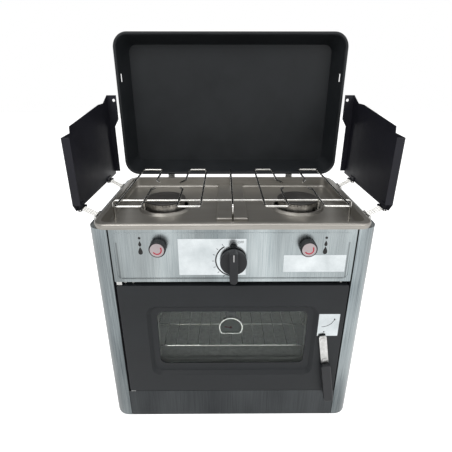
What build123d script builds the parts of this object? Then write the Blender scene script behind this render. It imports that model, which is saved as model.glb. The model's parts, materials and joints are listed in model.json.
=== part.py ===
from build123d import *
import os

# Two-burner camping stove with an oven. Millimetres, +Z up, front face towards -Y, feet on z = 0.

# casing
WIDTH = 520.0
DEPTH = 310.0
BASE_Z = 12.0
TOP_Z = 467.0
SHEET = 1.0
CORNER_R = 30.0
COLUMN_W = 37.5
PANEL_Z = 359.0
LOWER_TOP = 83.0

# door
DOOR_X0 = -219.0
DOOR_X1 = 220.5
DOOR_Z0 = 85.0
DOOR_Z1 = 351.0
DOOR_PROUD = 2.0
DOOR_THICK = 22.0
FRAME_W = 336.0
FRAME_H = 174.0
GLASS_W = 298.0
GLASS_H = 130.0
WINDOW_Z = 219.0
HINGE_X = -213.0
PIN_R = 2.0
RUN = 0.05

# oven
OVEN_W = 400.0
OVEN_Y1 = 118.0
OVEN_Z0 = 96.0
OVEN_Z1 = 340.0
RACK_Z = (170.0, 262.0)
WIRE_R = 2.0

# hob
TRAY_W = 500.0
TRAY_Y0 = -158.0
TRAY_Y1 = 152.0
RIM = 11.0
RIM_TOP = 477.0
FLOOR_Z = 453.0
BURNER_X = 141.0
BURNER_Y = -5.0
HOLE_R = 49.0
CAP_R = 43.0
CAP_TOP = 474.5
GRATE_Z = 500.5

# lid
LID_W = 520.0
LID_Z0 = 483.0
LID_Z1 = 801.0
LID_Y = 152.0
LID_DEPTH = 48.0
LID_BEAD = 3.5
LID_INSET = 16.0
LID_HINGE_Y = 159.5
LID_HINGE_Z = 489.5

# wind shields
SHIELD_X = 283.0
SHIELD_Y0 = -136.5
SHIELD_Y1 = 138.5
SHIELD_Z0 = 489.0
SHIELD_FRONT = 622.0
SHIELD_REAR = 656.0
LINK_A = (253.5, 474.5)
LINK_B = (278.0, 488.0)
KNUCKLE_R = 2.4
MIDDLE_Y = 7.0
LINK_Y = (-104.0, 78.0)

# controls
KNOB_X = 133.5
KNOB_Z = 434.5
DIAL_X = 1.0
DIAL_Z = 404.5
STEM_R = 3.0

FRONT = -DEPTH / 2
BACK = DEPTH / 2
HALF = WIDTH / 2
PANEL_HALF = HALF - COLUMN_W

parts = {}


def box(x0, x1, y0, y1, z0, z1):
    return Pos((x0 + x1) / 2, (y0 + y1) / 2, (z0 + z1) / 2) * Box(x1 - x0, y1 - y0, z1 - z0)


def cyl_x(x0, x1, y, z, r):
    return Pos((x0 + x1) / 2, y, z) * Rot(0, 90, 0) * Cylinder(r, x1 - x0)


def cyl_y(x, y0, y1, z, r):
    return Pos(x, (y0 + y1) / 2, z) * Rot(90, 0, 0) * Cylinder(r, y1 - y0)


def cyl_z(x, y, z0, z1, r):
    return Pos(x, y, (z0 + z1) / 2) * Cylinder(r, z1 - z0)


def slab_z(x0, x1, y0, y1, z0, z1, r):
    """A plate seen from above with rounded corners."""
    shape = RectangleRounded(x1 - x0, y1 - y0, r)
    return Pos((x0 + x1) / 2, (y0 + y1) / 2, z0) * extrude(shape, z1 - z0)


def slab_y(x0, x1, y0, y1, z0, z1, r):
    """A plate seen from the front with rounded corners, from y0 back to y1."""
    shape = Plane.XZ * RectangleRounded(x1 - x0, z1 - z0, r)
    solid = extrude(shape, y1 - y0, dir=(0, 1, 0))
    return Pos((x0 + x1) / 2, y0, (z0 + z1) / 2) * solid


def frustum_y(x0, x1, z0, z1, r, y0, inset, y1):
    """A block that narrows by inset from y0 to y1, seen from the front."""
    cx = (x0 + x1) / 2
    cz = (z0 + z1) / 2
    near = Pos(cx, y0, cz) * (Plane.XZ * RectangleRounded(x1 - x0, z1 - z0, r))
    small = RectangleRounded(x1 - x0 - 2 * inset, z1 - z0 - 2 * inset, max(r - inset / 2, 1.5))
    far = Pos(cx, y1, cz) * (Plane.XZ * small)
    return loft([near, far])


def wire(points, radius, bend, closed=False):
    """A round rod bent along the points."""
    path = FilletPolyline(*points, radius=bend, close=closed)
    return sweep(Plane(origin=path @ 0, z_dir=path % 0) * Circle(radius), path=path)


def rod(a, b, radius):
    line = Line(a, b)
    return sweep(Plane(origin=line @ 0, z_dir=line % 0) * Circle(radius), path=line)


def both(shape):
    """The shape and its mirror image on the other side."""
    return shape, mirror(shape, about=Plane.YZ)


def join(shapes):
    out = shapes[0]
    for shape in shapes[1:]:
        out = out + shape
    return out


def outline(inset):
    """The casing's outline from above: round front corners, tight rear corners."""
    body = Rectangle(WIDTH - 2 * inset, DEPTH - 2 * inset)
    front = body.vertices().sort_by(Axis.Y)[:2]
    body = fillet(front, CORNER_R - inset)
    rear = body.vertices().sort_by(Axis.Y)[-2:]
    return fillet(rear, 4.0 - inset * 0.9)


# casing panels
ring = extrude(outline(0) - outline(SHEET), TOP_Z - BASE_Z)
ring = Pos(0, 0, BASE_Z) * ring
side = ring & box(-HALF, -PANEL_HALF, FRONT, BACK, BASE_Z, TOP_Z)
side = side - box(-HALF + 18, 0, 0, BACK + 1, 0, TOP_Z + 1)
side = side + box(-PANEL_HALF - SHEET, -PANEL_HALF, FRONT, FRONT + 14, BASE_Z, TOP_Z)
shoulder = extrude(outline(0), SHEET) & box(-HALF, -PANEL_HALF, FRONT, BACK, 0, SHEET)
shoulder = shoulder - box(-TRAY_W / 2 + RIM, 0, FRONT - 1, BACK + 1, -1, SHEET + 1)
shoulder = shoulder + (extrude(outline(0), SHEET) & box(-TRAY_W / 2, -PANEL_HALF, FRONT, TRAY_Y0 + RIM, 0, SHEET))
side = side + Pos(0, 0, TOP_Z - SHEET) * shoulder
vent = Pos(-HALF, 0, 0) * Box(6, 3, 34)
for row in range(2):
    for n in range(7):
        side = side - Pos(0, 30 + n * 11, 130 + row * 250) * vent
side = side - box(-PANEL_HALF - 2, 0, TRAY_Y0 + RIM - 1, FRONT + 20, FLOOR_Z - 2, TOP_Z - SHEET)
side = side - box(-PANEL_HALF - 2, 0, TRAY_Y0 + RIM - 1, FRONT + 20, TOP_Z - 2, TOP_Z + 1)
side_left, side_right = both(side)
parts["side_panel_left"] = side_left
parts["side_panel_right"] = side_right

back = box(-HALF + 6, HALF - 6, BACK - 2 * SHEET, BACK - SHEET, BASE_Z + SHEET, TOP_Z - SHEET)
back = back + box(-200, 200, TRAY_Y1 - RIM, BACK - SHEET, TOP_Z - SHEET, TOP_Z)
louvre = Pos(0, BACK - 1.5, 0) * Box(34, 6, 3.2)
for col in range(5):
    for row in range(4):
        back = back - Pos(-120 + col * 60, 0, 250 + row * 12) * louvre
        back = back - Pos(-120 + col * 60, 0, 50 + row * 12) * louvre
GAS_X = 190.0
GAS_Z = OVEN_Z1 + 80.0
back = back - cyl_y(GAS_X, BACK - 5, BACK + 5, GAS_Z, 8.0)
parts["back_panel"] = back

floor_face = outline(SHEET)
base = extrude(floor_face, 16) - Pos(0, 0, SHEET) * extrude(outline(2 * SHEET), 20)
base = Pos(0, 0, BASE_Z) * base
base = base - box(-PANEL_HALF, PANEL_HALF, FRONT - 1, FRONT + 3.5, BASE_Z - 1, BASE_Z + 20)
base = base - box(-HALF, HALF, BACK - 2 * SHEET, BACK, BASE_Z + SHEET, BASE_Z + 20)
base = base + box(-PANEL_HALF + 2, PANEL_HALF - 2, FRONT + 3.5, FRONT + 4.5, BASE_Z, BASE_Z + 16)
for n in range(9):
    base = base - Pos(-160 + n * 40, 0, BASE_Z) * Box(8, 120, 6)
base = base - box(-HALF, -PANEL_HALF, FRONT, FRONT + 16, BASE_Z - 1, BASE_Z + 20)
base = base - box(PANEL_HALF, HALF, FRONT, FRONT + 16, BASE_Z - 1, BASE_Z + 20)
parts["base_pan"] = base


def front_panel(z0, z1, lip_low, lip_high):
    face = slab_y(-PANEL_HALF, PANEL_HALF, FRONT, FRONT + SHEET, z0, z1, 2.5)
    for x in (-PANEL_HALF, PANEL_HALF - SHEET):
        face = face + box(x, x + SHEET, FRONT + SHEET, FRONT + 14, z0 + 4, z1 - 4)
    inner = PANEL_HALF - 4
    if lip_high:
        face = face + box(-inner, inner, FRONT + SHEET, FRONT + lip_high, z1 - SHEET, z1)
    if lip_low:
        face = face + box(-inner, inner, FRONT + SHEET, FRONT + lip_low, z0, z0 + SHEET)
    return face - box(-PANEL_HALF - 1, PANEL_HALF + 1, TRAY_Y0 + RIM - 1, FRONT + 20, FLOOR_Z - 2, TOP_Z + 1)


control = front_panel(PANEL_Z, TOP_Z, 16, TRAY_Y0 + RIM - FRONT - 1)
border = slab_y(-PANEL_HALF + 7, PANEL_HALF - 7, FRONT - 0.5, FRONT, PANEL_Z + 7, TOP_Z - 7, 9)
border = border - slab_y(-PANEL_HALF + 8.6, PANEL_HALF - 8.6, FRONT - 1, FRONT, PANEL_Z + 8.6, TOP_Z - 8.6, 8)
control = control + border
for x in (-KNOB_X, KNOB_X):
    control = control - cyl_y(x, FRONT - 1, FRONT + 3, KNOB_Z, STEM_R + 1.5)
control = control - cyl_y(DIAL_X, FRONT - 1, FRONT + 3, DIAL_Z, STEM_R + 1.5)
parts["control_panel"] = control
parts["lower_panel"] = front_panel(BASE_Z, LOWER_TOP, 0, 16)

# front frame round the oven's mouth, set back behind the door
FRAME_Y = FRONT + DOOR_THICK + 3
mouth = box(-OVEN_W / 2, OVEN_W / 2, FRAME_Y - 5, FRAME_Y + 5, OVEN_Z0, OVEN_Z1)
front_frame = box(-PANEL_HALF, PANEL_HALF, FRAME_Y, FRAME_Y + SHEET, LOWER_TOP - 1, PANEL_Z + 1) - mouth
header = box(-PANEL_HALF + 4, PANEL_HALF - 4, FRONT + 16, FRAME_Y, PANEL_Z, PANEL_Z + SHEET)
sill = box(-PANEL_HALF + 4, PANEL_HALF - 4, FRONT + 16, FRAME_Y, LOWER_TOP - SHEET, LOWER_TOP)
jambs = []
for x in (-PANEL_HALF, PANEL_HALF - SHEET):
    jambs.append(box(x, x + SHEET, FRONT + 14, FRAME_Y, LOWER_TOP, PANEL_Z))
    jambs.append(box(x, x + SHEET, FRONT + 3, FRONT + 14, LOWER_TOP + 2, PANEL_Z - 2))
strip = box(-PANEL_HALF + 4, PANEL_HALF - 4, FRONT + 16, FRONT + 17, DOOR_Z1 + 1.5, PANEL_Z)
front_frame = join([front_frame, header, sill, strip] + jambs)
parts["front_frame"] = front_frame

# oven box
liner = box(-OVEN_W / 2 - SHEET, OVEN_W / 2 + SHEET, FRAME_Y + SHEET, OVEN_Y1 + SHEET, OVEN_Z0 - SHEET, OVEN_Z1 + SHEET)
liner = liner - box(-OVEN_W / 2, OVEN_W / 2, FRAME_Y, OVEN_Y1, OVEN_Z0, OVEN_Z1)
liner = liner - box(-120, 120, OVEN_Y1 - 1, OVEN_Y1 + 3, OVEN_Z1 - 14, OVEN_Z1 - 6)
for n in range(7):
    liner = liner - Pos(-150 + n * 50, 30, OVEN_Z0) * Box(12, 60, 6)
parts["oven_liner"] = liner
gap = 14.0
shield_box = box(
    -OVEN_W / 2 - gap, OVEN_W / 2 + gap, FRAME_Y + SHEET, OVEN_Y1 + gap, OVEN_Z0 - SHEET, OVEN_Z1 + gap
)
shield_in = box(
    -OVEN_W / 2 - gap + SHEET,
    OVEN_W / 2 + gap - SHEET,
    FRAME_Y,
    OVEN_Y1 + gap - SHEET,
    OVEN_Z0 - 3,
    OVEN_Z1 + gap - SHEET,
)
parts["heat_shield"] = shield_box - shield_in

# oven racks on two side rails
RAIL_X = OVEN_W / 2 - 2.5
rails = []
for s in (-1, 1):
    for z in RACK_Z:
        rail = box(min(s * RAIL_X, s * OVEN_W / 2), max(s * RAIL_X, s * OVEN_W / 2), -110, 100, z - 8, z + 8)
        shelf = box(min(s * (RAIL_X - 8), s * RAIL_X), max(s * (RAIL_X - 8), s * RAIL_X), -110, 100, z - 4, z - 2)
        rails.append(rail + shelf)
parts["rack_rails"] = Compound(rails)


def rack(z):
    edge = RAIL_X - 3.0
    y0 = -112.0
    y1 = 96.0
    frame = wire([(-edge, y0, z), (edge, y0, z), (edge, y1, z), (-edge, y1, z)], WIRE_R, 8, closed=True)
    rods = [rod((-edge, y, z), (edge, y, z), 1.5) for y in (-40, 30)]
    count = 15
    for n in range(count):
        x = -edge + 2 * edge * (n + 1) / (count + 1)
        rods.append(rod((x, y0, z + 2.6), (x, y1, z + 2.6), 1.3))
    return join([frame] + rods)


parts["oven_racks"] = Compound([rack(z).solid() for z in RACK_Z])

# hanging oven thermometer
TH_X = -2.0
TH_Y = -114.8
TH_Z = RACK_Z[1] - 36.0
TH_R = 25.0


def dee(radius, y0, y1):
    disc = cyl_y(TH_X, y0, y1, TH_Z, radius)
    return disc - box(TH_X - 40, TH_X + 40, y0 - 1, y1 + 1, TH_Z - 60, TH_Z - radius * 0.62)


parts["thermometer_case"] = dee(TH_R, TH_Y - 8, TH_Y) - dee(TH_R - 2.5, TH_Y - 9, TH_Y - 2)
parts["thermometer_dial"] = dee(TH_R - 2.5, TH_Y - 3.0, TH_Y - 2.0)
parts["thermometer_lens"] = dee(TH_R - 2.5, TH_Y - 7.0, TH_Y - 6.0)
needle = Pos(TH_X - 6, TH_Y - 3.5, TH_Z - 2) * Rot(0, 8, 0) * Box(15, 1.0, 2.2)
parts["thermometer_pointer"] = needle + cyl_y(TH_X, TH_Y - 4.0, TH_Y - 3.0, TH_Z - 2.5, 2.6)
HOOK_Z = RACK_Z[1] + 3.9
plate = box(TH_X - 11, TH_X + 11, TH_Y, TH_Y + 0.8, TH_Z + 5, HOOK_Z)
plate = plate + box(TH_X - 11, TH_X + 11, TH_Y, TH_Y + 7.5, HOOK_Z, HOOK_Z + 0.8)
parts["thermometer_hook"] = plate

# oven burner under the spreader plate
BURN_Z = 58.0
tube = wire([(150, 60, BURN_Z), (-150, 60, BURN_Z), (-150, -50, BURN_Z), (150, -50, BURN_Z)], 9, 24)
for n in range(12):
    tube = tube - cyl_z(-130 + n * 22, -50, BURN_Z, BURN_Z + 12, 1.6)
parts["oven_burner"] = tube
feet_of_burner = []
for x in (-110, 110):
    for y in (-50, 60):
        saddle = box(x - 8, x + 8, y - 10, y + 10, BASE_Z + SHEET, BURN_Z - 8.4)
        feet_of_burner.append(saddle - tube)
spreader = box(-150, 150, -80, 90, OVEN_Z0 + 14, OVEN_Z0 + 15)
for x in (-140, 139):
    for y in (-70, 70):
        spreader = spreader + box(x, x + 1, y, y + 10, OVEN_Z0, OVEN_Z0 + 14)
parts["flame_spreader"] = spreader

# hob tray
tray_in_x = TRAY_W / 2 - RIM
wall = SHEET
rim = slab_z(-TRAY_W / 2, TRAY_W / 2, TRAY_Y0, TRAY_Y1, TOP_Z, RIM_TOP, 26)
rim = fillet(rim.edges().group_by(Axis.Z)[-1], 4.2)
under = slab_z(-TRAY_W / 2 + 1, TRAY_W / 2 - 1, TRAY_Y0 + 1, TRAY_Y1 - 1, TOP_Z, RIM_TOP - 1.2, 25)
under = fillet(under.edges().group_by(Axis.Z)[-1], 3.4)
rim = rim - under
pan = slab_z(-tray_in_x, tray_in_x, TRAY_Y0 + RIM, TRAY_Y1 - RIM, FLOOR_Z - wall, RIM_TOP, 16)
hollow_x = tray_in_x - wall
hollow = slab_z(
    -hollow_x, hollow_x, TRAY_Y0 + RIM + wall, TRAY_Y1 - RIM - wall, FLOOR_Z, RIM_TOP + 1, 15
)
pan = fillet(pan.edges().group_by(Axis.Z)[0], 6)
hollow = fillet(hollow.edges().group_by(Axis.Z)[0], 5)
tray = (rim + pan) - hollow
rib_y0 = -90.0
rib_y1 = TRAY_Y1 - RIM - wall
rib = box(-30.5, 30.5, rib_y0, rib_y1, FLOOR_Z - wall, FLOOR_Z + 8)
rib = fillet(rib.edges().group_by(Axis.Z)[-1], 3)
rib_void = box(-29.5, 29.5, rib_y0 + 1, rib_y1 - 1, FLOOR_Z - wall - 1, FLOOR_Z + 7)
tray = (tray + rib) - rib_void
collar_profile = Plane.XZ * Polygon(
    (HOLE_R + 7, FLOOR_Z - 1),
    (HOLE_R + 7, FLOOR_Z),
    (HOLE_R + 3.5, FLOOR_Z + 4.5),
    (HOLE_R, FLOOR_Z + 4.5),
    (HOLE_R, FLOOR_Z + 3.5),
    (HOLE_R + 3, FLOOR_Z + 3.5),
    (HOLE_R + 5.6, FLOOR_Z - 1),
    align=None,
)
collar = revolve(collar_profile, Axis.Z)
for x in (-BURNER_X, BURNER_X):
    tray = tray - cyl_z(x, BURNER_Y, FLOOR_Z - 3, FLOOR_Z + 2, HOLE_R + 6.5)
    tray = tray + Pos(x, BURNER_Y, 0) * collar
for x in (-TRAY_W / 2 + 6, TRAY_W / 2 - 6):
    tray = tray - cyl_z(x, -28, TOP_Z, RIM_TOP + 1, 2.0)
parts["hob_tray"] = tray

# top burners
HEAD_R = CAP_R - 2.5


def burner_head():
    head = cyl_z(0, 0, FLOOR_Z - 12, CAP_TOP - 3, HEAD_R)
    head = head - cyl_z(0, 0, FLOOR_Z - 9, CAP_TOP, HEAD_R - 4)
    neck = cyl_z(0, 0, FLOOR_Z - 34, FLOOR_Z - 12, 14) - cyl_z(0, 0, FLOOR_Z - 30, FLOOR_Z, 10)
    head = head - cyl_z(0, 0, FLOOR_Z - 20, FLOOR_Z, 10) + neck
    slot = Pos(0, 0, CAP_TOP - 5.5) * Box(2 * HEAD_R + 4, 1.2, 5.2)
    for n in range(18):
        head = head - Rot(0, 0, n * 10) * slot
    return head


def burner_cap():
    profile = Plane.XZ * Polygon(
        (0, CAP_TOP - 3),
        (CAP_R, CAP_TOP - 3),
        (CAP_R, CAP_TOP - 1),
        (CAP_R - 2, CAP_TOP),
        (CAP_R - 8, CAP_TOP),
        (CAP_R - 11, CAP_TOP - 1),
        (0, CAP_TOP - 1),
        align=None,
    )
    return revolve(profile, Axis.Z)


heads = [Pos(x, BURNER_Y, 0) * burner_head() for x in (-BURNER_X, BURNER_X)]
caps = [Pos(x, BURNER_Y, 0) * burner_cap() for x in (-BURNER_X, BURNER_X)]
parts["burner_heads"] = Compound([h.solid() for h in heads])
parts["burner_caps"] = Compound(caps)
carriers = []
for x in (-BURNER_X, BURNER_X):
    strap = box(x - 60, x + 60, BURNER_Y - 18, BURNER_Y + 18, FLOOR_Z - 14, FLOOR_Z - 12)
    strap = strap - cyl_z(x, BURNER_Y, FLOOR_Z - 20, FLOOR_Z - 5, 14)
    for s in (-60, 58.8):
        strap = strap + box(x + s, x + s + 1.2, BURNER_Y - 18, BURNER_Y + 18, FLOOR_Z - 14, FLOOR_Z - 1)
    carriers.append(strap)
parts["burner_brackets"] = Compound([c.solid() for c in carriers] + feet_of_burner)

# gas train: manifold behind the control panel, three valves, pipes to the burners
VALVE_Y0 = FRONT + 18.0
VALVE_Y1 = VALVE_Y0 + 26.0
MANI_Z = OVEN_Z1 + 52.0
MANI_Y = VALVE_Y1 + 6.0
manifold = rod((-150, MANI_Y, MANI_Z), (GAS_X, MANI_Y, MANI_Z), 6)
manifold = manifold + wire([(GAS_X - 1, MANI_Y, MANI_Z), (GAS_X + 12, MANI_Y, MANI_Z), (GAS_X + 12, 120, MANI_Z)], 6, 9)
manifold = manifold + wire(
    [(GAS_X + 12, 119, MANI_Z), (GAS_X + 12, 136, MANI_Z), (GAS_X, 136, GAS_Z - 14), (GAS_X, 136, GAS_Z)], 6, 3
)
manifold = manifold + cyl_y(GAS_X, 130, BACK - 8, GAS_Z, 7)
parts["gas_manifold"] = manifold
inlet = cyl_y(GAS_X, BACK - 8, BACK, GAS_Z, 7.9) + cyl_y(GAS_X, BACK - SHEET, BACK + 6, GAS_Z, 10)
inlet = inlet + cyl_y(GAS_X, BACK + 6, BACK + 24, GAS_Z, 7.1)
inlet = inlet - cyl_y(GAS_X, BACK - 4, BACK + 26, GAS_Z, 4)
parts["gas_inlet"] = inlet


def valve(x, z):
    body = box(x - 11, x + 11, VALVE_Y0, VALVE_Y1, z - 12, z + 12)
    body = body + cyl_y(x, VALVE_Y0 - 8, VALVE_Y0, z, 7)
    body = body - cyl_y(x, VALVE_Y0 - 9, VALVE_Y0 + 16, z, STEM_R + RUN)
    return body


valve_left = valve(-KNOB_X, KNOB_Z)
valve_left = valve_left + box(-KNOB_X - 5, -KNOB_X + 5, MANI_Y - 8, MANI_Y, MANI_Z, KNOB_Z - 10)
valve_right = valve(KNOB_X, KNOB_Z)
valve_right = valve_right + box(KNOB_X - 5, KNOB_X + 5, MANI_Y - 8, MANI_Y, MANI_Z, KNOB_Z - 10)
oven_valve = valve(DIAL_X, DIAL_Z)
valves = [v - parts["gas_manifold"] for v in (valve_left, valve_right, oven_valve)]
parts["gas_valves"] = Compound([v.solid() for v in valves])
pipes = []
for s in (-1, 1):
    path = [
        (s * KNOB_X, VALVE_Y1, KNOB_Z - 4),
        (s * KNOB_X, -90, KNOB_Z - 4),
        (s * BURNER_X, BURNER_Y - 14, FLOOR_Z - 25),
    ]
    pipes.append(wire(path, 5, 8))
oven_path = [
    (DIAL_X, VALVE_Y1, DIAL_Z - 6),
    (DIAL_X, -88, DIAL_Z - 6),
    (OVEN_W / 2 + 35, -88, DIAL_Z - 6),
    (OVEN_W / 2 + 35, -88, BURN_Z),
    (OVEN_W / 2 - 10, -50, BURN_Z),
    (OVEN_W / 2 - 50, -50, BURN_Z),
]
pipes.append(wire(oven_path, 3.5, 8))
solid_gas = [parts["gas_manifold"], parts["oven_burner"]] + valves + heads
for n in range(len(pipes)):
    for other in solid_gas:
        pipes[n] = pipes[n] - other
    pipes[n] = pipes[n].solids().sort_by(SortBy.VOLUME)[-1]
parts["gas_pipes"] = Compound(pipes)

# igniters and the oven's thermocouple
spark = []
for s in (-1, 1):
    x = s * BURNER_X
    tip = cyl_z(x + s * 46.0, BURNER_Y, FLOOR_Z - 12, CAP_TOP - 6, 1.2)
    spark.append(tip + cyl_z(x + s * 46.0, BURNER_Y, FLOOR_Z - 12, FLOOR_Z + 8, 2.2))
PROBE_X = -57.0
PROBE_Y = OVEN_Y1 - 6
probe = cyl_z(PROBE_X, PROBE_Y, OVEN_Z1 - 150, OVEN_Z1, 2.5)
probe = probe + cyl_z(PROBE_X, PROBE_Y, OVEN_Z1, OVEN_Z1 + gap - SHEET, 4)
parts["igniters"] = Compound(spark + [probe])
parts["oven_liner"] = parts["oven_liner"] - cyl_z(PROBE_X, PROBE_Y, OVEN_Z1 - 3, OVEN_Z1 + 3, 4.0)

# feet and screws
FEET = ((-205, -110), (205, -110), (-205, 110), (205, 110))
feet = []
for x, y in FEET:
    foot = cyl_z(x, y, 0, BASE_Z, 14)
    feet.append(fillet(foot.edges().group_by(Axis.Z)[0], 2.5))
parts["rubber_feet"] = Compound(feet)


def screw_y(x, y, z, r, out):
    head = cyl_y(x, min(y, y + out), max(y, y + out), z, r)
    cross = Pos(x, y + out, z) * (Box(r * 1.2, 0.8, 0.8) + Box(0.8, 0.8, r * 1.2))
    return head - cross


screws = []
for x in (-236, -90, 90, 236):
    for z in (60, 440):
        screws.append(screw_y(x, BACK - SHEET, z, 3.6, 2))
for x in (-203, -188, 206):
    screws.append(screw_y(x, FRONT + 16, PANEL_Z - 4.0, 2.2, -10))
parts["casing_screws"] = Compound(screws)
rivets = []
for s in (-1, 1):
    for y in (-60, 60):
        for z in (40, 420):
            rivets.append(cyl_x(min(s * HALF, s * (HALF + 1.4)), max(s * HALF, s * (HALF + 1.4)), y, z, 3.2))
parts["casing_rivets"] = Compound(rivets)

# plates on the control panel
dial_plate = slab_y(-99, 24, FRONT - 0.4, FRONT, 374, 448, 1.0)
dial_plate = dial_plate - cyl_y(DIAL_X, FRONT - 1, FRONT + 1, DIAL_Z, STEM_R + 1.5)
side_plate = slab_y(93, 207, FRONT - 0.4, FRONT, 380, 415, 1.0)
parts["panel_plates"] = Compound([dial_plate, side_plate])

# knobs: each stem slides in and out of its valve, and each knob turns with its stem
PUSH = 3.0
for name, x, z in (("left", -KNOB_X, KNOB_Z), ("right", KNOB_X, KNOB_Z), ("oven", DIAL_X, DIAL_Z)):
    parts["stem_" + name] = cyl_y(x, FRONT - 14, VALVE_Y0 + 12, z, STEM_R)
for name, x in (("left", -KNOB_X), ("right", KNOB_X)):
    body = cyl_y(x, FRONT - 18, FRONT - PUSH - 1.0, KNOB_Z, 15)
    body = fillet(body.edges().group_by(Axis.Y)[0], 1.6)
    for n in range(24):
        ang = Pos(x, 0, KNOB_Z) * Rot(0, n * 15, 0)
        body = body - ang * Pos(15.4, FRONT - 9, 0) * Box(1.6, 20, 1.2)
    body = body - cyl_y(x, FRONT - 14.05, FRONT, KNOB_Z, STEM_R + RUN)
    body = body - cyl_y(x, FRONT - 19, FRONT - 17, KNOB_Z, 12.5)
    parts["knob_" + name] = body
    parts["knob_cap_" + name] = cyl_y(x, FRONT - 18.6, FRONT - 17, KNOB_Z, 12.5)
skirt = cyl_y(DIAL_X, FRONT - 14, FRONT - PUSH - 1.0, DIAL_Z, 24.5)
skirt = fillet(skirt.edges().group_by(Axis.Y)[0], 3)
grip = slab_y(DIAL_X - 7.5, DIAL_X + 7.5, FRONT - 32, FRONT - 12, DIAL_Z - 33, DIAL_Z + 29, 7)
grip = fillet(grip.edges().group_by(Axis.Y)[0], 2.5)
big = skirt + grip
big = big - cyl_y(DIAL_X, FRONT - 14.05, FRONT, DIAL_Z, STEM_R + RUN)
big = big - Pos(DIAL_X, FRONT - 32, DIAL_Z + 20) * Box(1.8, 1.2, 14)
parts["knob_oven"] = big

# door: outer pan with a pressed window frame, inner pan, two panes
DY0 = FRONT - DOOR_PROUD
DY1 = FRONT + DOOR_THICK - DOOR_PROUD
outer = slab_y(DOOR_X0, DOOR_X1, DY0, DY1 - 6, DOOR_Z0, DOOR_Z1, 3)
outer = fillet(outer.edges().group_by(Axis.Y)[0], 1.6)
outer = outer - box(DOOR_X0 + SHEET, DOOR_X1 - SHEET, DY0 + SHEET, DY1, DOOR_Z0 + SHEET, DOOR_Z1 - SHEET)
fx = FRAME_W / 2
fz0 = WINDOW_Z - FRAME_H / 2 - 2
fz1 = WINDOW_Z + FRAME_H / 2 - 2
press_out = frustum_y(-fx, fx, fz0, fz1, 20, DY0, 7, DY0 + 7)
gx = GLASS_W / 2
gz0 = WINDOW_Z - GLASS_H / 2 + 3
gz1 = WINDOW_Z + GLASS_H / 2 + 3
press_skin = frustum_y(-fx - 1, fx + 1, fz0 - 1, fz1 + 1, 21, DY0, 7, DY0 + 8)
window_hole = slab_y(-gx, gx, DY0 - 1, DY1 + 1, gz0, gz1, 13)
outer = (outer + press_skin) - press_out - window_hole
parts["door_outer"] = outer
inner = slab_y(DOOR_X0 + 14, DOOR_X1 - 14, DY1 - 6, DY1, DOOR_Z0 + 10, DOOR_Z1 - 10, 6)
inner_void = box(DOOR_X0 + 15, DOOR_X1 - 15, DY1 - 7, DY1 - 1, DOOR_Z0 + 11, DOOR_Z1 - 11)
inner = inner - inner_void
flange = slab_y(DOOR_X0 + SHEET, DOOR_X1 - SHEET, DY1 - 6, DY1 - 5, DOOR_Z0 + SHEET, DOOR_Z1 - SHEET, 2)
inner = inner + (flange - box(DOOR_X0 + 15, DOOR_X1 - 15, DY1 - 7, DY1, DOOR_Z0 + 11, DOOR_Z1 - 11))
back_hole = slab_y(-gx, gx, DY1 - 8, DY1 + 1, gz0, gz1, 10)
parts["door_inner"] = inner - back_hole
pane_x = gx + 9
pane = slab_y(-pane_x, pane_x, DY0 + 8, DY0 + 12, gz0 - 9, gz1 + 9, 8)
back_pane = slab_y(-pane_x, pane_x, DY1 - 4, DY1 - 1, gz0 - 9, gz1 + 9, 8)
parts["door_glass"] = Compound([pane, back_pane])
clips = []
for x in (-gx - 4, gx + 4):
    for z in (gz0 + 20, gz1 - 20):
        clips.append(box(x - 4, x + 4, DY0 + 12, DY1 - 4, z - 8, z + 8))
parts["glass_clips"] = Compound(clips)
gasket = slab_y(DOOR_X0 + 16, DOOR_X1 - 16, DY1, DY1 + 2.4, DOOR_Z0 + 12, DOOR_Z1 - 12, 8)
gasket = gasket - slab_y(DOOR_X0 + 24, DOOR_X1 - 24, DY1 - 1, DY1 + 3, DOOR_Z0 + 20, DOOR_Z1 - 20, 5)
parts["door_gasket"] = gasket
parts["handle_plate"] = slab_y(170, 211, DY0 - 0.5, DY0, 233, 286, 1.0)

# door hinge pins stand on the header and the sill
HINGE_Y = DY0 + 5.0
pins = []
holders = []
for z, s in ((DOOR_Z0, -1), (DOOR_Z1, 1)):
    z_far = z + s * 1.6
    pins.append(cyl_z(HINGE_X, HINGE_Y, min(z - s * 9, z_far), max(z - s * 9, z_far), PIN_R))
    z_in = z - s * SHEET
    block = box(HINGE_X - 4.5, HINGE_X + 6, HINGE_Y - 3.9, HINGE_Y + 5, min(z_in, z - s * 12), max(z_in, z - s * 12))
    holders.append(block - cyl_z(HINGE_X, HINGE_Y, z - 20, z + 20, PIN_R + RUN))
bore = cyl_z(HINGE_X, HINGE_Y, DOOR_Z0 - 1, DOOR_Z1 + 1, PIN_R + RUN)
parts["door_outer"] = parts["door_outer"] - bore
parts["door_hinge_bushes"] = Compound(holders)
lower_arm = box(HINGE_X - 5, HINGE_X + 5, HINGE_Y - 3, FRONT + 16, LOWER_TOP, DOOR_Z0 - 0.4)
upper_arm = box(HINGE_X - 5, HINGE_X + 5, HINGE_Y - 3, FRONT + 16, DOOR_Z1 + 1.5, PANEL_Z)
upper_arm = upper_arm - box(HINGE_X - 6, HINGE_X + 6, HINGE_Y + 4, BACK, DOOR_Z1, PANEL_Z - 1.5)
tabs = [lower_arm + pins[0], upper_arm + pins[1]]
parts["door_hinge_pins"] = Compound(tabs)

# latch: strap, spindle, grip and the tongue behind the door
LATCH_X = FRAME_W / 2 + 13.8
LATCH_Z = 227.0
TILT = -9.5


def latch_place(shape):
    return Pos(LATCH_X, 0, LATCH_Z) * Rot(0, TILT, 0) * shape


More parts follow.
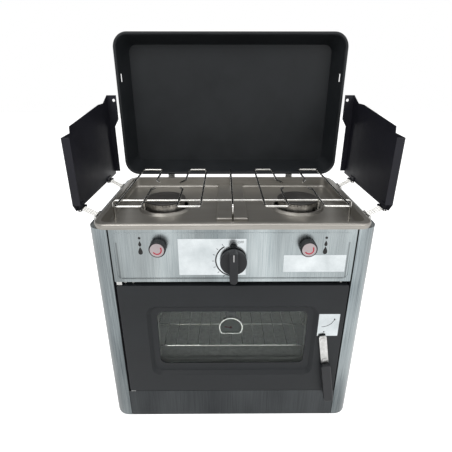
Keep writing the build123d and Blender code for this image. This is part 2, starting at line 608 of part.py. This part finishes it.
LY = DY0 - 4.0
strap = slab_y(-7.5, 7.5, LY - 2.0, LY, -64, 9, 4)
spindle = cyl_y(0, LY - 3.2, LY - 2.0, 0, 5) + cyl_y(0, LY, DY0 + 16, 0, 3.0)
lower = cyl_y(0, LY - 3.2, LY - 2.0, -52, 4.2)
handle = slab_y(-9.5, 9.5, LY - 12, LY - 5, -160, -60, 4)
handle = fillet(handle.edges().group_by(Axis.Y)[0], 2)
handle = handle + slab_y(-9.5, 9.5, LY - 5.0, LY - 2, -160, -65, 4)
tongue = slab_y(-6, 6, DY0 + 12, DY0 + 14, -30, 6, 3) - cyl_y(0, DY0, DY0 + 20, 0, 3.0)
parts["latch_strap"] = latch_place(strap)
parts["latch_pins"] = Compound([latch_place(spindle), latch_place(lower)])
parts["latch_grip"] = latch_place(handle) - parts["latch_strap"] - latch_place(lower)
parts["latch_tongue"] = latch_place(tongue)
parts["door_outer"] = parts["door_outer"] - cyl_y(LATCH_X, DY0 - 1, DY0 + 4, LATCH_Z, 3.0 + RUN)

# grate: one welded wire piece that stands in the tray
C_X = (210.0, 164.0, 100.0, 58.0)
Y_FRONT = -131.0
Y_REAR = 128.0
BEND = 5.0
pieces = []
for s in (-1, 1):
    for side_x, finger_x, hook in ((C_X[0], C_X[1], -1), (C_X[3], C_X[2], 1)):
        loop = [
            (s * (finger_x + hook * 6), -20, GRATE_Z),
            (s * finger_x, -30, GRATE_Z),
            (s * finger_x, Y_FRONT, GRATE_Z),
            (s * side_x, Y_FRONT, GRATE_Z),
            (s * side_x, Y_REAR, GRATE_Z),
            (s * finger_x, Y_REAR, GRATE_Z),
            (s * finger_x, 36, GRATE_Z),
            (s * (finger_x + hook * 10), 18, GRATE_Z),
        ]
        pieces.append(wire(loop, WIRE_R, BEND))
ROD_Z = GRATE_Z - 2 * WIRE_R + 0.4
ROD_Y = -88.0
FOOT_Z = FLOOR_Z + 0.3
pieces.append(
    wire([(-226, ROD_Y, FOOT_Z), (-226, ROD_Y, ROD_Z), (226, ROD_Y, ROD_Z), (226, ROD_Y, FOOT_Z)], WIRE_R, BEND)
)
centre = [(0, -126, FOOT_Z), (0, -126, GRATE_Z), (0, 131, GRATE_Z), (0, 131, FLOOR_Z + 8.3)]
pieces.append(wire(centre, WIRE_R, BEND))
parts["wire_grate"] = join(pieces)

# lid: open pan with a rolled rim, standing upright behind the hob
LH = LID_W / 2
LID_R = 33.0


def lid_shell(grow, y0, y1):
    inset = LID_INSET - grow * 0.3
    return frustum_y(
        -LH + 2 * LID_BEAD - 0.3 - grow,
        LH - 2 * LID_BEAD + 0.3 + grow,
        LID_Z0 + 2 * LID_BEAD - 0.3 - grow,
        LID_Z1 - 2 * LID_BEAD + 0.3 + grow,
        LID_R - 2 * LID_BEAD + grow,
        y0,
        inset,
        y1,
    )


lid = lid_shell(0.5, LID_Y, LID_Y + LID_DEPTH + 1.0) - lid_shell(-0.6, LID_Y - 0.01, LID_Y + LID_DEPTH)
bead_path = Plane.XZ * RectangleRounded(LID_W - 2 * LID_BEAD, LID_Z1 - LID_Z0 - 2 * LID_BEAD, LID_R - LID_BEAD)
bead_wire = Pos(0, LID_Y, (LID_Z0 + LID_Z1) / 2) * bead_path.wires()[0]
bead = sweep(Plane(origin=bead_wire @ 0, z_dir=bead_wire % 0) * Circle(LID_BEAD), path=bead_wire)
slots = []
for s in (-1, 1):
    slots.append(Pos(s * (LH - 4.5), LID_Y + 9, 707) * Box(12, 5, 17))
lid = lid - slots[0] - slots[1]
parts["lid_pan"] = lid + bead

# lid hinges: fixed goosenecks, ears on the lid and their pins
arms = []
ears = []
hinge_pins = []
for x in (-150, 150):
    arm = box(x - 8, x + 8, BACK - SHEET, BACK + 1, TOP_Z - 37, TOP_Z - 5)
    arm = arm + box(x - 8, x + 8, BACK - SHEET, LID_HINGE_Y + 10.5, TOP_Z - 5, TOP_Z - 3)
    arm = arm + box(x - 8, x + 8, LID_HINGE_Y + 8.5, LID_HINGE_Y + 10.5, TOP_Z - 3, LID_HINGE_Z + 1.2)
    arm = arm + box(x - 8, x + 8, LID_HINGE_Y + 1, LID_HINGE_Y + 10.5, LID_HINGE_Z - 1.2, LID_HINGE_Z + 1.2)
    arm = arm + cyl_x(x - 8, x + 8, LID_HINGE_Y, LID_HINGE_Z, 1.8)
    arms.append(arm - cyl_x(x - 9, x + 9, LID_HINGE_Y, LID_HINGE_Z, 1.0))
    hinge_pins.append(cyl_x(x - 13, x + 13, LID_HINGE_Y, LID_HINGE_Z, 0.95))
    for s in (-1, 1):
        e0 = min(x + s * 8.5, x + s * 10.5)
        ear = box(e0, e0 + 2, LID_HINGE_Y - 2.4, LID_HINGE_Y + 24, LID_HINGE_Z - 2.4, LID_HINGE_Z + 20)
        ears.append(ear)
above_ears = box(-HALF, HALF, LID_Y - 2, LID_Y + 2 * LID_DEPTH, LID_HINGE_Z + 16.5, LID_Z1 + 50)
under_lid = lid_shell(0.5, LID_Y, LID_Y + LID_DEPTH + 1.0) + above_ears
pin_solid = join(hinge_pins)
ears = [(e - under_lid - bead - pin_solid).solids().sort_by(Axis.Z)[0] for e in ears]
parts["lid_hinge_ears"] = Compound(ears + hinge_pins)
parts["lid_hinge_arms"] = Compound(arms)

# wind shields with their wire links
AX, AZ = LINK_A
BX, BZ = LINK_B
plate_yz = Plane.YZ * Polygon(
    (SHIELD_Y0 + 12, SHIELD_Z0),
    (SHIELD_Y0, SHIELD_Z0 + 15),
    (SHIELD_Y0, SHIELD_FRONT),
    (SHIELD_Y0 + 38, SHIELD_FRONT + 2),
    (SHIELD_Y0 + 40, SHIELD_FRONT + 13),
    (SHIELD_Y1 - 68, SHIELD_REAR),
    (SHIELD_Y1 - 34, SHIELD_REAR),
    (SHIELD_Y1, SHIELD_REAR + 15),
    (SHIELD_Y1, SHIELD_Z0),
    align=None,
)
sheet_plate = Pos(-SHIELD_X, 0, 0) * extrude(plate_yz, SHEET, dir=(1, 0, 0))
front_lip = box(-SHIELD_X, -SHIELD_X + 14, SHIELD_Y0, SHIELD_Y0 + SHEET, SHIELD_Z0 + 15, SHIELD_FRONT)
rear_lip = box(-SHIELD_X, -SHIELD_X + 12, SHIELD_Y1 - SHEET, SHIELD_Y1, SHIELD_Z0 + 6, SHIELD_REAR + 15)
tab_shape = Plane.XZ * Polygon(
    (-SHIELD_X, SHIELD_REAR + 15),
    (-LH - 1.2, SHIELD_REAR + 15),
    (-LH - 1.2, SHIELD_REAR - 38),
    (-SHIELD_X + 10, SHIELD_REAR - 58),
    (-SHIELD_X, SHIELD_REAR - 58),
    align=None,
)
tab = Pos(0, SHIELD_Y1 - SHEET, 0) * extrude(tab_shape, SHEET, dir=(0, 1, 0))
tab = tab - cyl_y(-LH - 7.5, SHIELD_Y1 - 3, SHIELD_Y1 + 3, SHIELD_REAR + 4, 3.2)
wind = join([sheet_plate, front_lip, rear_lip, tab])
brackets = []
posts = []
links = []
for y in LINK_Y:
    leaf = box(-SHIELD_X + SHEET, -SHIELD_X + 3 * SHEET, y - 15, y + 15, BZ - 2, SHIELD_Z0 + 8)
    knuckle = cyl_y(-BX, y - 15, y - 10.5, BZ, KNUCKLE_R) + cyl_y(-BX, y + 10.5, y + 15, BZ, KNUCKLE_R)
    leaf = leaf + (knuckle - cyl_y(-BX, y - 20, y + 20, BZ, 1.3))
    brackets.append(leaf)
    post = box(-AX - 3.0, -AX + 1.5, y - 15, y + 15, TOP_Z, AZ - 3.4)
    ends = cyl_y(-AX, y - 15, y - 10.5, AZ, KNUCKLE_R) + cyl_y(-AX, y + 10.5, y + 15, AZ, KNUCKLE_R)
    lugs = box(-AX - 2, -AX + 2, y - 15, y - 10.5, TOP_Z, AZ) + box(-AX - 2, -AX + 2, y + 10.5, y + 15, TOP_Z, AZ)
    post = post + ends + lugs
    posts.append(post - cyl_y(-AX, y - 20, y + 20, AZ, 1.3))
    rails = [rod((-AX, y + gap_y, AZ), (-BX, y + gap_y, BZ), 1.05) for gap_y in (-8, -2.7, 2.7, 8)]
    link = join([cyl_y(-AX, y - 15, y + 15, AZ, 1.25), cyl_y(-BX, y - 15, y + 15, BZ, 1.25)] + rails)
    links.append(link.solid())
hinge_left, hinge_right = both(Compound(posts))
parts["tray_hinges"] = Compound(hinge_left.solids() + hinge_right.solids())
for name, shape in (("shield", Compound([wind.solid()] + brackets)), ("link_wires", Compound(links))):
    left, right = both(shape)
    parts[name + "_left"] = left
    parts[name + "_right"] = right


def main():
    os.makedirs("parts", exist_ok=True)
    for name, shape in parts.items():
        placed = Pos(0, -MIDDLE_Y, 0) * Compound(shape.solids())
        export_step(placed, f"parts/{name}.step")
    print(len(parts), "parts")


main()
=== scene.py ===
import json
import math

import bpy
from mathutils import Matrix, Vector


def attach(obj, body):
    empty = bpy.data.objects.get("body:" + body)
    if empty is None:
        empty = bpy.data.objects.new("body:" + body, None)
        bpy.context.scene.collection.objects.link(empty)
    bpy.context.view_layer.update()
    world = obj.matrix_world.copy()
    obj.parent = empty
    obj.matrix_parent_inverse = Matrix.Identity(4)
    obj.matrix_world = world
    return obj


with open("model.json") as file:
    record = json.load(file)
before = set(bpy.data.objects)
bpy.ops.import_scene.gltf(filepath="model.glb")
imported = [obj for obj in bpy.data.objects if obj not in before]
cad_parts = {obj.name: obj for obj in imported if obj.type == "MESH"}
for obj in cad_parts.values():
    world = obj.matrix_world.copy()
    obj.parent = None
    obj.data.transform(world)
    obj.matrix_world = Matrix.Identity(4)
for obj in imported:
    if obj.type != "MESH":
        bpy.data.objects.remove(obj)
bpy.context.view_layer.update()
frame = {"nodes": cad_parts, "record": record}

# millimetres, in the frame of the CAD model
MM = 0.001
FRONT = -162.0
KNOB_X = 133.5
KNOB_Z = 434.5
DIAL_X = 1.0
DIAL_Z = 404.5
ICON_X = 167.0
scene = bpy.context.scene


# Materials: every one is a Principled shader with procedural grain, cloudy tone and bump; the casing colour
# also holds painted reflections and painted shade.
def new_material(name):
    mat = bpy.data.materials.new(name)
    mat.use_nodes = True
    nodes = mat.node_tree.nodes
    return mat, nodes, mat.node_tree.links, nodes["Principled BSDF"]


def mapping(nodes, links, scale):
    coords = nodes.new("ShaderNodeTexCoord")
    place = nodes.new("ShaderNodeMapping")
    place.inputs["Scale"].default_value = scale
    links.new(coords.outputs["Object"], place.inputs["Vector"])
    return place


def noise(nodes, links, scale, detail, stretch=(1, 1, 1), rough=0.6):
    tex = nodes.new("ShaderNodeTexNoise")
    tex.inputs["Scale"].default_value = scale
    tex.inputs["Detail"].default_value = detail
    tex.inputs["Roughness"].default_value = rough
    links.new(mapping(nodes, links, stretch).outputs["Vector"], tex.inputs["Vector"])
    return tex


def spread(nodes, links, tex, low, high, a=0.3, b=0.7):
    span = nodes.new("ShaderNodeMapRange")
    span.inputs["From Min"].default_value = a
    span.inputs["From Max"].default_value = b
    span.inputs["To Min"].default_value = low
    span.inputs["To Max"].default_value = high
    links.new(tex.outputs["Fac"], span.inputs["Value"])
    return span


def ramp(nodes, links, tex, dark, light, a=0.3, b=0.7):
    mix = nodes.new("ShaderNodeValToRGB")
    mix.color_ramp.elements[0].position = a
    mix.color_ramp.elements[0].color = (*dark, 1)
    mix.color_ramp.elements[1].position = b
    mix.color_ramp.elements[1].color = (*light, 1)
    links.new(tex.outputs["Fac"], mix.inputs["Fac"])
    return mix


def bump(nodes, links, tex, bsdf, strength, distance):
    node = nodes.new("ShaderNodeBump")
    node.inputs["Strength"].default_value = strength
    node.inputs["Distance"].default_value = distance
    links.new(tex.outputs["Fac"], node.inputs["Height"])
    links.new(node.outputs["Normal"], bsdf.inputs["Normal"])


GRAIN_SCALE = 900
CLOUD_SCALE = 9
GRAIN_DEPTH = 0.00002


def grain_material(name, dark, light, stretch, rough=(0.28, 0.45), metal=1.0):
    """Brushed sheet: fine lines along the direction with the small stretch value, and broad soft clouds."""
    mat, nodes, links, bsdf = new_material(name)
    lines = noise(nodes, links, GRAIN_SCALE, 4, stretch)
    clouds = noise(nodes, links, CLOUD_SCALE, 3, tuple(0.25 + 0.75 * v for v in stretch))
    blend = nodes.new("ShaderNodeMix")
    blend.inputs["Factor"].default_value = 0.55
    links.new(lines.outputs["Fac"], blend.inputs["A"])
    links.new(clouds.outputs["Fac"], blend.inputs["B"])
    tones = nodes.new("ShaderNodeValToRGB")
    tones.color_ramp.elements[0].position = 0.34
    tones.color_ramp.elements[0].color = (*dark, 1)
    tones.color_ramp.elements[1].position = 0.66
    tones.color_ramp.elements[1].color = (*light, 1)
    links.new(blend.outputs["Result"], tones.inputs["Fac"])
    links.new(tones.outputs["Color"], bsdf.inputs["Base Color"])
    links.new(spread(nodes, links, lines, *rough).outputs["Result"], bsdf.inputs["Roughness"])
    bsdf.inputs["Metallic"].default_value = metal
    bump(nodes, links, lines, bsdf, 0.25, GRAIN_DEPTH)
    return mat


def paint_material(name, dark, light, rough=(0.42, 0.55), scale=700, strength=0.25, cloud=14, shine=0.22):
    """Baked paint or moulded plastic: fine orange peel, faint dust and cloudy tone."""
    mat, nodes, links, bsdf = new_material(name)
    peel = noise(nodes, links, scale, 3)
    clouds = noise(nodes, links, cloud, 5)
    links.new(ramp(nodes, links, clouds, dark, light).outputs["Color"], bsdf.inputs["Base Color"])
    links.new(spread(nodes, links, clouds, *rough).outputs["Result"], bsdf.inputs["Roughness"])
    bsdf.inputs["Specular IOR Level"].default_value = shine
    bump(nodes, links, peel, bsdf, strength, 0.00004)
    return mat


def metal_material(name, dark, light, rough=(0.08, 0.18), scale=120, strength=0.08):
    mat, nodes, links, bsdf = new_material(name)
    spots = noise(nodes, links, scale, 6)
    links.new(ramp(nodes, links, spots, dark, light).outputs["Color"], bsdf.inputs["Base Color"])
    links.new(spread(nodes, links, spots, *rough).outputs["Result"], bsdf.inputs["Roughness"])
    bsdf.inputs["Metallic"].default_value = 1.0
    bump(nodes, links, spots, bsdf, strength, 0.00003)
    return mat


def glass_material(name, tint):
    """Clear pane: mostly see-through, with a soft reflection and faint smears."""
    mat, nodes, links, bsdf = new_material(name)
    smear = noise(nodes, links, 18, 6, (1, 1, 0.5))
    links.new(spread(nodes, links, smear, 0.03, 0.1).outputs["Result"], bsdf.inputs["Roughness"])
    dull = tuple(0.94 * c for c in tint)
    links.new(ramp(nodes, links, smear, dull, tint).outputs["Color"], bsdf.inputs["Base Color"])
    bsdf.inputs["Transmission Weight"].default_value = 1.0
    bsdf.inputs["IOR"].default_value = 1.05
    clear = nodes.new("ShaderNodeBsdfTransparent")
    clear.inputs["Color"].default_value = (*tint, 1)
    mix = nodes.new("ShaderNodeMixShader")
    mix.inputs["Fac"].default_value = 0.014
    gloss = nodes.new("ShaderNodeBsdfGlossy")
    gloss.inputs["Roughness"].default_value = 0.05
    gloss.inputs["Color"].default_value = (0.75, 0.78, 0.77, 1)
    links.new(clear.outputs["BSDF"], mix.inputs[1])
    links.new(gloss.outputs["BSDF"], mix.inputs[2])
    links.new(mix.outputs["Shader"], nodes["Material Output"].inputs["Surface"])
    return mat


def math_node(nodes, links, kind, a, b=None, clamp=False):
    node = nodes.new("ShaderNodeMath")
    node.operation = kind
    node.use_clamp = clamp
    for socket, value in zip(node.inputs, (a, b)):
        if value is None:
            continue
        if isinstance(value, (int, float)):
            socket.default_value = value
        else:
            links.new(value, socket)
    return node.outputs["Value"]


def band(nodes, links, value, centre, half, soft):
    """1 where value is within half of the centre, falling to 0 over the soft width."""
    off = math_node(nodes, links, "ABSOLUTE", math_node(nodes, links, "SUBTRACT", value, centre))
    left = math_node(nodes, links, "SUBTRACT", half + soft, off)
    return math_node(nodes, links, "DIVIDE", left, soft, True)


def spread_value(nodes, links, value, a, b, low, high):
    span = nodes.new("ShaderNodeMapRange")
    for socket, number in zip(("From Min", "From Max", "To Min", "To Max"), (a, b, low, high)):
        span.inputs[socket].default_value = number
    links.new(value, span.inputs["Value"])
    return span.outputs["Result"]


def darken(nodes, links, tone, amount, strength=1.0):
    """The tone, lowered where amount is 1."""
    if strength != 1.0:
        amount = math_node(nodes, links, "MULTIPLY", amount, strength)
    return math_node(nodes, links, "MULTIPLY", tone, math_node(nodes, links, "SUBTRACT", 1.0, amount))


def casing_material(name, dark, light, panel):
    """Brushed casing: painted broad upright reflections, fine grain, and painted shade lines where sheets
    meet; the panel also has painted shade along its embossed border, and the side columns painted shade
    towards the bottom and the outer edges.
    """
    mat = grain_material(name, dark, light, (1, 1, 0.012), rough=(0.22, 0.38))
    nodes = mat.node_tree.nodes
    links = mat.node_tree.links
    bsdf = nodes["Principled BSDF"]
    base = bsdf.inputs["Base Color"].links[0].from_socket
    coords = nodes.new("ShaderNodeTexCoord")
    split = nodes.new("ShaderNodeSeparateXYZ")
    links.new(coords.outputs["Object"], split.inputs["Vector"])
    x = split.outputs["X"]
    z = split.outputs["Z"]
    # Painted reflections: broad upright streaks of light and dark painted into the casing colour.
    broad = noise(nodes, links, 13, 2, (1, 1, 0.14), 0.4)
    tone = spread(nodes, links, broad, 0.62, 1.35, 0.32, 0.68).outputs["Result"]
    sides = math_node(nodes, links, "ABSOLUTE", x)
    if panel:
        # Painted shade: a dark line where the panel meets the side columns, standing in for the shade in the
        # gap.
        panel_gap_shade = band(nodes, links, sides, 0.2225, 0.0011, 0.0012)
        tone = darken(nodes, links, tone, panel_gap_shade)
        across = band(nodes, links, sides, 0.2095, 0.0006, 0.0014)
        inside_z = band(nodes, links, z, 0.4035, 0.036, 0.002)
        low = band(nodes, links, z, 0.3665, 0.0006, 0.0014)
        inside_x = band(nodes, links, x, 0.0, 0.206, 0.002)
        upright = math_node(nodes, links, "MULTIPLY", across, inside_z)
        level = math_node(nodes, links, "MULTIPLY", low, inside_x)
        emboss_border_and_shade = math_node(nodes, links, "MAXIMUM", upright, level)
        # Painted shade along the panel's embossed border; the same mask also raises the border by bump.
        tone = darken(nodes, links, tone, emboss_border_and_shade, 0.4)
        lift = nodes.new("ShaderNodeBump")
        lift.inputs["Strength"].default_value = 0.6
        lift.inputs["Distance"].default_value = 0.0008
        links.new(emboss_border_and_shade, lift.inputs["Height"])
        links.new(nodes["Bump"].outputs["Normal"], lift.inputs["Normal"])
        links.new(lift.outputs["Normal"], bsdf.inputs["Normal"])
    else:
        # Painted shade: a dark line on the columns where they meet the panel, standing in for the shade in
        # the gap.
        column_gap_shade = band(nodes, links, sides, 0.2225, 0.0007, 0.001)
        # Painted shade: the columns darker towards their outer edges.
        outer = band(nodes, links, sides, 0.2625, 0.0035, 0.011)
        # Painted shade: the columns darker towards the bottom.
        low = spread_value(nodes, links, z, 0.05, 0.30, 0.5, 1.0)
        tone = math_node(nodes, links, "MULTIPLY", tone, low)
        tone = darken(nodes, links, tone, column_gap_shade)
        tone = darken(nodes, links, tone, outer, 0.55)
    scale = nodes.new("ShaderNodeVectorMath")
    scale.operation = "SCALE"
    links.new(base, scale.inputs[0])
    links.new(tone, scale.inputs["Scale"])
    links.new(scale.outputs["Vector"], bsdf.inputs["Base Color"])
    return mat


VERT = (1, 1, 0.012)
SIDE = (0.012, 1, 1)
M = {
    "dark_steel": grain_material(
        "dark_steel", (0.02, 0.022, 0.024), (0.065, 0.07, 0.073),
        VERT, rough=(0.35, 0.5),
    ),
    "zinc_steel": metal_material("zinc_steel", (0.35, 0.35, 0.34), (0.55, 0.55, 0.54), (0.3, 0.45)),
    "hob_steel": grain_material(
        "hob_steel", (0.2, 0.19, 0.17), (0.34, 0.325, 0.3),
        SIDE, rough=(0.3, 0.42), metal=0.75,
    ),
    "black_enamel": paint_material("black_enamel", (0.009, 0.0105, 0.012), (0.015, 0.017, 0.019)),
    "black_sheet": paint_material("black_sheet", (0.005, 0.005, 0.008), (0.009, 0.009, 0.014)),
    "liner_steel": grain_material(
        "liner_steel", (0.33, 0.34, 0.33), (0.6, 0.61, 0.59),
        SIDE, rough=(0.35, 0.5),
    ),
    "chrome_wire": metal_material("chrome_wire", (0.4, 0.395, 0.38), (0.66, 0.65, 0.62)),
    "burner_alloy": metal_material("burner_alloy", (0.4, 0.38, 0.35), (0.62, 0.6, 0.57), (0.25, 0.4)),
    "burner_enamel": paint_material(
        "burner_enamel", (0.02, 0.019, 0.018), (0.04, 0.038, 0.036),
        (0.3, 0.45),
    ),
    "brass": metal_material("brass", (0.5, 0.34, 0.12), (0.75, 0.55, 0.22), (0.2, 0.35)),
    "glass": glass_material("glass", (0.965, 0.975, 0.97)),
    "rubber": paint_material("rubber", (0.01, 0.01, 0.01), (0.018, 0.018, 0.018), (0.7, 0.85)),
    "black_plastic": paint_material(
        "black_plastic", (0.012, 0.013, 0.015), (0.022, 0.023, 0.025),
        (0.35, 0.48),
    ),
    "cap_plastic": paint_material(
        "cap_plastic", (0.34, 0.29, 0.3), (0.5, 0.44, 0.45),
        (0.2, 0.3), strength=0.08,
    ),
    "dial_white": paint_material("dial_white", (0.85, 0.83, 0.8), (0.93, 0.91, 0.88), strength=0.08),
    "needle_red": paint_material("needle_red", (0.35, 0.01, 0.03), (0.45, 0.02, 0.05), strength=0.08),
    "plate_silver": metal_material(
        "plate_silver", (0.36, 0.39, 0.4), (0.52, 0.55, 0.56),
        (0.12, 0.25), 22, 0.04,
    ),
    "ceramic": paint_material("ceramic", (0.6, 0.57, 0.5), (0.75, 0.72, 0.66), (0.3, 0.5)),
}
M["side_casing"] = casing_material("side_casing", (0.08, 0.1, 0.11), (0.4, 0.44, 0.45), False)
M["panel_casing"] = casing_material("panel_casing", (0.12, 0.145, 0.155), (0.34, 0.37, 0.375), True)
M["print_black"] = paint_material("print_black", (0.01, 0.01, 0.01), (0.02, 0.02, 0.02), strength=0.05)
M["print_white"] = paint_material("print_white", (0.55, 0.55, 0.55), (0.68, 0.68, 0.68), strength=0.05)

slots = {s["node"]: s["material_slot"] for s in frame["record"]["subparts"]}
looks = {"side_panel_left": "side_casing", "side_panel_right": "side_casing", "control_panel": "panel_casing"}
for node, obj in frame["nodes"].items():
    obj.data.materials.clear()
    obj.data.materials.append(M[looks.get(node, slots[node])])


# Added pieces: printed marks and small details.
def place(obj, body, mat, slot_name):
    obj.data.materials.clear()
    obj.data.materials.append(mat)
    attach(obj, body)
    return obj


def polygon(name, loops, y, thick, body, mat, slot_name):
    """Flat shapes drawn in X and Z on the front face, given as lists of points in millimetres."""
    verts = []
    faces = []
    for loop in loops:
        n = len(loop)
        base = len(verts)
        verts += [(x * MM, (y - thick) * MM, z * MM) for x, z in loop]
        verts += [(x * MM, y * MM, z * MM) for x, z in loop]
        faces.append(tuple(range(base, base + n)))
        faces.append(tuple(range(base + 2 * n - 1, base + n - 1, -1)))
        for i in range(n):
            j = (i + 1) % n
            faces.append((base + j, base + i, base + n + i, base + n + j))
    mesh = bpy.data.meshes.new(name)
    mesh.from_pydata(verts, [], faces)
    mesh.update()
    obj = bpy.data.objects.new(name, mesh)
    scene.collection.objects.link(obj)
    return place(obj, body, mat, slot_name)


def arc(cx, cz, r0, r1, a0, a1, steps=28):
    """A curved band from angle a0 to a1, in degrees anticlockwise from +X."""
    angles = [math.radians(a0 + (a1 - a0) * i / steps) for i in range(steps + 1)]
    outer = [(cx + r1 * math.cos(a), cz + r1 * math.sin(a)) for a in angles]
    inner = [(cx + r0 * math.cos(a), cz + r0 * math.sin(a)) for a in reversed(angles)]
    return outer + inner


def disc(cx, cz, r, steps=24):
    angles = [2 * math.pi * i / steps for i in range(steps)]
    return [(cx + r * math.cos(a), cz + r * math.sin(a)) for a in angles]


def bar(cx, cz, w, h, turn=0.0):
    c = math.cos(math.radians(turn))
    s = math.sin(math.radians(turn))
    corners = ((-w / 2, -h / 2), (w / 2, -h / 2), (w / 2, h / 2), (-w / 2, h / 2))
    return [(cx + x * c - z * s, cz + x * s + z * c) for x, z in corners]


def flame(cx, cz, size):
    """A plain teardrop flame."""
    points = []
    for i in range(28):
        t = 2 * math.pi * i / 28
        x = 0.42 * size * math.sin(t) * math.sin(t / 2) ** 1.3
        z = 0.6 * size * math.cos(t)
        points.append((cx + x, cz + z))
    return points


for name, s in (("left", -1), ("right", 1)):
    x = s * ICON_X
    marks = [disc(x, 449.5, 2.4), flame(x, 438.5, 9), flame(x, 424.5, 13)]
    polygon("knob_marks_" + name, marks, FRONT, 0.15, "stove", M["print_black"], "black_plastic")
    kx = s * KNOB_X
    ring = [arc(kx, KNOB_Z, 6.5, 8.6, -150, 20), disc(kx + 7, KNOB_Z + 4, 1.4)]
    polygon("cap_arc_" + name, ring, FRONT - 18.6, 0.12, "knob_" + name, M["needle_red"], "needle_red")

dial = [arc(DIAL_X, DIAL_Z, 31, 33.5, 120, 262)]
for k in range(8):
    a = math.radians(122 + k * 20)
    dial.append(bar(DIAL_X + 37 * math.cos(a), DIAL_Z + 37 * math.sin(a), 4.5, 0.9, math.degrees(a)))
polygon("dial_marks", dial, FRONT - 0.4, 0.12, "stove", M["print_black"], "black_plastic")
arc_marks = [arc(178, 279, 23, 24, -92, -8), disc(201.5, 272.5, 1.5), disc(183, 243, 1.5)]
polygon("handle_marks", arc_marks, -164.5, 0.12, "door", M["print_black"], "black_plastic")
ticks = []
for k in range(13):
    a = math.radians(205 - k * 19.2)
    w = 3.6 if k % 3 == 0 else 2.2
    ticks.append(bar(-2 + 17.5 * math.cos(a), 226 + 17.5 * math.sin(a), w, 0.6, math.degrees(a)))
polygon("thermometer_ticks", ticks, -124.8, 0.1, "stove", M["print_black"], "black_plastic")
pointer = [bar(DIAL_X, DIAL_Z + 20, 1.6, 13.5)]
polygon("knob_line", pointer, -193.42, 0.05, "knob_oven", M["print_white"], "dial_white")


def words(name, text, x, z, y, size, body):
    curve = bpy.data.curves.new(name, "FONT")
    curve.body = text
    curve.size = size * MM
    curve.extrude = 0.06 * MM
    curve.align_x = "CENTER"
    curve.align_y = "CENTER"
    obj = bpy.data.objects.new(name, curve)
    scene.collection.objects.link(obj)
    obj.location = (x * MM, y * MM, z * MM)
    obj.rotation_euler = (math.pi / 2, 0, 0)
    return place(obj, body, M["print_black"], "black_plastic")


words("dial_off", "OFF", 14, 441, FRONT - 0.46, 6.5, "stove")

# Floor, background, lamps and camera
floor_mesh = bpy.data.meshes.new("floor")
floor_mesh.from_pydata([(-6, -6, 0), (6, -6, 0), (6, 6, 0), (-6, 6, 0)], [], [(0, 1, 2, 3)])
floor = bpy.data.objects.new("floor", floor_mesh)
scene.collection.objects.link(floor)
fmat, fn, fl, fb = new_material("floor")
dust = noise(fn, fl, 5, 3)
fl.new(ramp(fn, fl, dust, (0.8, 0.8, 0.8), (0.82, 0.82, 0.82)).outputs["Color"], fb.inputs["Base Color"])
fb.inputs["Roughness"].default_value = 0.9


def seen_rays(nodes, links):
    """1 for camera, glossy and transmission rays."""
    path = nodes.new("ShaderNodeLightPath")
    first = nodes.new("ShaderNodeMath")
    first.operation = "MAXIMUM"
    links.new(path.outputs["Is Camera Ray"], first.inputs[0])
    links.new(path.outputs["Is Glossy Ray"], first.inputs[1])
    second = nodes.new("ShaderNodeMath")
    second.operation = "MAXIMUM"
    links.new(first.outputs["Value"], second.inputs[0])
    links.new(path.outputs["Is Transmission Ray"], second.inputs[1])
    return second


glow = fn.new("ShaderNodeEmission")
glow.inputs["Color"].default_value = (1, 1, 1, 1)
glow.inputs["Strength"].default_value = 0.75
both = fn.new("ShaderNodeAddShader")
tone = fn.new("ShaderNodeMixShader")
fl.new(seen_rays(fn, fl).outputs["Value"], tone.inputs["Fac"])
fl.new(fb.outputs["BSDF"], tone.inputs[1])
fl.new(fb.outputs["BSDF"], both.inputs[0])
fl.new(glow.outputs["Emission"], both.inputs[1])
fl.new(both.outputs["Shader"], tone.inputs[2])
fl.new(tone.outputs["Shader"], fn["Material Output"].inputs["Surface"])
floor_mesh.materials.append(fmat)

world = bpy.data.worlds.new("studio")
scene.world = world
world.use_nodes = True
wn = world.node_tree.nodes
wl = world.node_tree.links
back = wn["Background"]
back.inputs["Color"].default_value = (1, 1, 1, 1)
light_level = wn.new("ShaderNodeMapRange")
light_level.inputs["To Min"].default_value = 0.55
light_level.inputs["To Max"].default_value = 1.0
wl.new(seen_rays(wn, wl).outputs["Value"], light_level.inputs["Value"])
wl.new(light_level.outputs["Result"], back.inputs["Strength"])


def lamp(name, where, aim, size, power):
    data = bpy.data.lights.new(name, "AREA")
    data.shape = "RECTANGLE"
    data.size, data.size_y = size
    data.energy = power
    obj = bpy.data.objects.new(name, data)
    scene.collection.objects.link(obj)
    obj.location = where
    obj.rotation_euler = (Vector(aim) - Vector(where)).to_track_quat("-Z", "Y").to_euler()


lamp("key", (-0.9, -1.6, 1.9), (0, 0, 0.35), (1.4, 1.0), 22)
lamp("fill", (1.2, -1.5, 1.2), (0, 0, 0.3), (1.2, 1.2), 12)
lamp("top", (0, 0.1, 2.2), (0, 0, 0.4), (1.6, 1.2), 14)

camera = bpy.data.cameras.new("camera")
camera.sensor_width = 36
camera.lens = 36 * 365.05 / 452
cam = bpy.data.objects.new("camera", camera)
scene.collection.objects.link(cam)
cam.location = (-0.016, -0.7503, 0.726)
cam.rotation_euler = (math.radians(90 - 23.289), 0, math.radians(-0.337))
scene.camera = cam
scene.view_settings.view_transform = "Standard"
